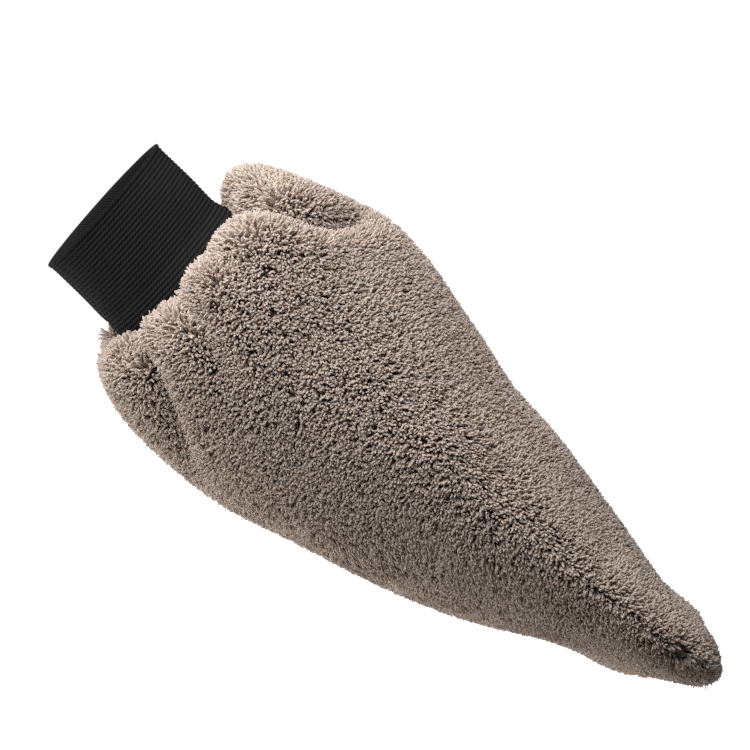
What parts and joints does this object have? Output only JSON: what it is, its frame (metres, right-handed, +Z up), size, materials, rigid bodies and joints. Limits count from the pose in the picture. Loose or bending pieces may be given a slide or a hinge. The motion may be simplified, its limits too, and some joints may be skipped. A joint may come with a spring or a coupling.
{
  "type": "wash mitt",
  "caption": "Plush hand mitt for washing vehicles: a soft lined bag, flat at the fingertips and full at the knuckles, on a ribbed elastic wrist cuff that flexes at the neck.",
  "frame": {"origin": "on the flat patch of the palm that the mitt rests on, on its mid plane", "axes": "+X to the fingertip end, +Z up out of the back of the hand, Y across the hand; the cuff points along -X and rises 19 degrees"},
  "size_m": [0.2884, 0.1685, 0.1282],
  "materials": {
    "plush": "deep cut pile, taupe",
    "lining": "fine knit, matt",
    "seam_thread": "spun polyester thread",
    "cuff_thread": "black spun thread",
    "webbing": "ribbed woven elastic, matt",
    "rubber_core": "extruded rubber thread"
  },
  "bodies": {
    "bag": {"back_panel": "plush", "palm_panel": "plush", "back_lining": "lining", "palm_lining": "lining", "side_seam_thread": "seam_thread"},
    "neck": {"neck_stitches": "cuff_thread"},
    "cuff": {"cuff_webbing": "webbing", "cuff_rubber_threads": "rubber_core", "cuff_join_stitches": "cuff_thread"}
  },
  "joints": [
    {"name": "cuff_flex", "type": "hinge", "parent": "bag", "child": "neck", "pos_m": [-0.1227, 0, 0.0786], "axis": [0, 1, 0], "range_deg": [-20, 20], "stiffness_Nm_per_rad": 0.04},
    {"name": "cuff_swing", "type": "hinge", "parent": "neck", "child": "cuff", "pos_m": [-0.1227, 0, 0.0786], "axis": [0.3256, 0, 0.9455], "range_deg": [-12, 12], "stiffness_Nm_per_rad": 0.04}
  ]
}
